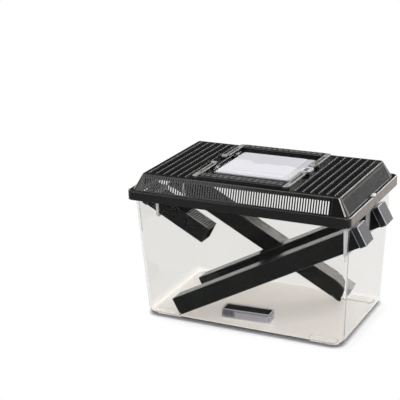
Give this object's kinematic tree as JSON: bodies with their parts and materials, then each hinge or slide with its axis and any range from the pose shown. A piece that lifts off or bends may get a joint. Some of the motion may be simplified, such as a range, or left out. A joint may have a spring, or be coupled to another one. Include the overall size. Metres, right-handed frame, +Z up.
{
  "type": "cricket keeper box",
  "caption": "Clear tapered insect tub with a black slotted lid, feeding door, fold-down carry handles, slanting pull-out square tubes and a feeding tray.",
  "frame": {"origin": "on the ground under the middle of the box", "axes": "+X towards the right end seen from the front, +Y from front to back, +Z up"},
  "size_m": [0.33, 0.188, 0.2005],
  "materials": {
    "clear_plastic": "gloss",
    "lid_plastic": "gloss",
    "door_plastic": "gloss",
    "tube_plastic": "satin",
    "cap_plastic": "gloss",
    "pad_foam": "matte"
  },
  "bodies": {
    "tub": {"tub": "clear_plastic"},
    "lid": {"lid": "lid_plastic", "lid_grille_front": "lid_plastic", "lid_grille_back": "lid_plastic", "lid_grille_left": "lid_plastic", "lid_grille_right": "lid_plastic", "lid_grille_top_left": "lid_plastic", "lid_grille_top_right": "lid_plastic"},
    "door": {"door": "door_plastic"},
    "handle_front": {"handle_front": "lid_plastic"},
    "handle_back": {"handle_back": "lid_plastic"},
    "tube_front_right": {"tube_front_right": "tube_plastic", "tube_cap_front_right": "cap_plastic"},
    "tube_back_right": {"tube_back_right": "tube_plastic", "tube_cap_back_right": "cap_plastic"},
    "tube_back_left": {"tube_back_left": "tube_plastic", "tube_cap_back_left": "cap_plastic"},
    "tube_front_left": {"tube_front_left": "tube_plastic", "tube_cap_front_left": "cap_plastic"},
    "feeding_tray": {"feeding_tray": "clear_plastic", "pad_short": "pad_foam", "pad_long": "pad_foam"}
  },
  "joints": [
    {"name": "lid_lift", "type": "slide", "parent": "tub", "child": "lid", "axis": [0, 0, 1], "range_m": [0, 0.12]},
    {"name": "door_hinge", "type": "hinge", "parent": "lid", "child": "door", "pos_m": [-0.051, 0, 0.1969], "axis": [0, 1, 0], "range_deg": [-105, 0]},
    {"name": "handle_front_hinge", "type": "hinge", "parent": "lid", "child": "handle_front", "pos_m": [0, -0.016, 0.1975], "axis": [-1, 0, 0], "range_deg": [0, 100]},
    {"name": "handle_back_hinge", "type": "hinge", "parent": "lid", "child": "handle_back", "pos_m": [0, 0.016, 0.1975], "axis": [1, 0, 0], "range_deg": [0, 100]},
    {"name": "tube_front_right_slide", "type": "slide", "parent": "tub", "child": "tube_front_right", "axis": [0.8829, 0, 0.4695], "range_m": [0, 0.26]},
    {"name": "tube_back_right_slide", "type": "slide", "parent": "tub", "child": "tube_back_right", "axis": [0.8829, 0, 0.4695], "range_m": [0, 0.26]},
    {"name": "tube_back_left_slide", "type": "slide", "parent": "tub", "child": "tube_back_left", "axis": [-0.8829, 0, 0.4695], "range_m": [0, 0.26]},
    {"name": "tube_front_left_slide", "type": "slide", "parent": "tub", "child": "tube_front_left", "axis": [-0.8829, 0, 0.4695], "range_m": [0, 0.075]},
    {"name": "tray_slide", "type": "slide", "parent": "tub", "child": "feeding_tray", "axis": [1, 0, 0], "range_m": [0, 0.06]}
  ]
}
